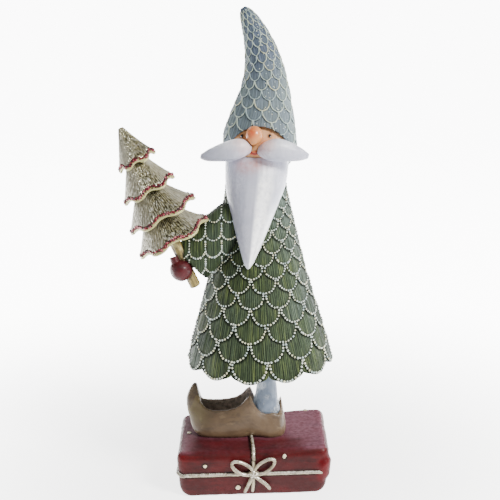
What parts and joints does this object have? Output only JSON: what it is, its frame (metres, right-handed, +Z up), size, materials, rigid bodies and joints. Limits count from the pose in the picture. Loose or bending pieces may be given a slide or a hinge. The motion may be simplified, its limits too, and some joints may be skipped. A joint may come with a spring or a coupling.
{
  "type": "gnome figurine",
  "caption": "Standing gnome figurine: scalloped coat, tall bent hat, pointed beard, fir tree in one mitten, one curled shoe on a cord-tied parcel base. Hand-painted cast resin.",
  "frame": {"origin": "On the parcel base's resting face, at the underside of the felt sheet, under the middle of the shoe", "axes": "+Z is up, -Y is the side the gnome's face looks to, -X is the side the shoe's toe, the near arm and the tree point to"},
  "size_m": [0.1315, 0.0977, 0.3045],
  "materials": {
    "parcel_red": "satin hand-painted resin with a dark wash",
    "base_plate": "unpainted resin",
    "felt": "felt",
    "cord": "satin hand-painted resin",
    "snow_paint": "thick paint",
    "shoe_brown": "satin hand-painted resin",
    "stocking": "satin hand-painted resin",
    "rod_steel": "plain",
    "coat_green": "satin hand-painted resin, dry-brushed",
    "sleeve_green": "satin hand-painted resin, dry-brushed",
    "mitten_red": "satin hand-painted resin",
    "skin": "satin hand-painted resin",
    "nose_skin": "satin hand-painted resin",
    "lips": "satin hand-painted resin",
    "eye_paint": "gloss paint",
    "beard_white": "satin hand-painted resin",
    "hat_blue": "satin hand-painted resin with piped lines",
    "tree_metallic": "champagne metallic paint with glitter edges",
    "trunk_gold": "metallic paint"
  },
  "bodies": {
    "root": {"parcel_shell": "parcel_red", "base_plate": "base_plate", "felt_sheet": "felt", "cord_band": "cord", "cord_cross": "cord", "bow_knot": "cord", "bow_loops": "cord", "bow_tails": "cord", "snow_dots": "snow_paint", "shoe": "shoe_brown", "stocking_leg": "stocking", "armature_rod": "rod_steel", "coat_shell": "coat_green", "coat_floor": "coat_green", "near_sleeve": "sleeve_green", "near_mitten": "mitten_red", "far_sleeve": "sleeve_green", "far_mitten": "mitten_red", "head": "skin", "nose": "nose_skin", "mouth": "lips", "eyes": "eye_paint", "moustache_left": "beard_white", "moustache_right": "beard_white", "beard": "beard_white", "hat": "hat_blue", "tree_tier_1": "tree_metallic", "tree_tier_2": "tree_metallic", "tree_tier_3": "tree_metallic", "tree_tier_4": "tree_metallic", "tree_trunk": "trunk_gold"}
  },
  "joints": []
}
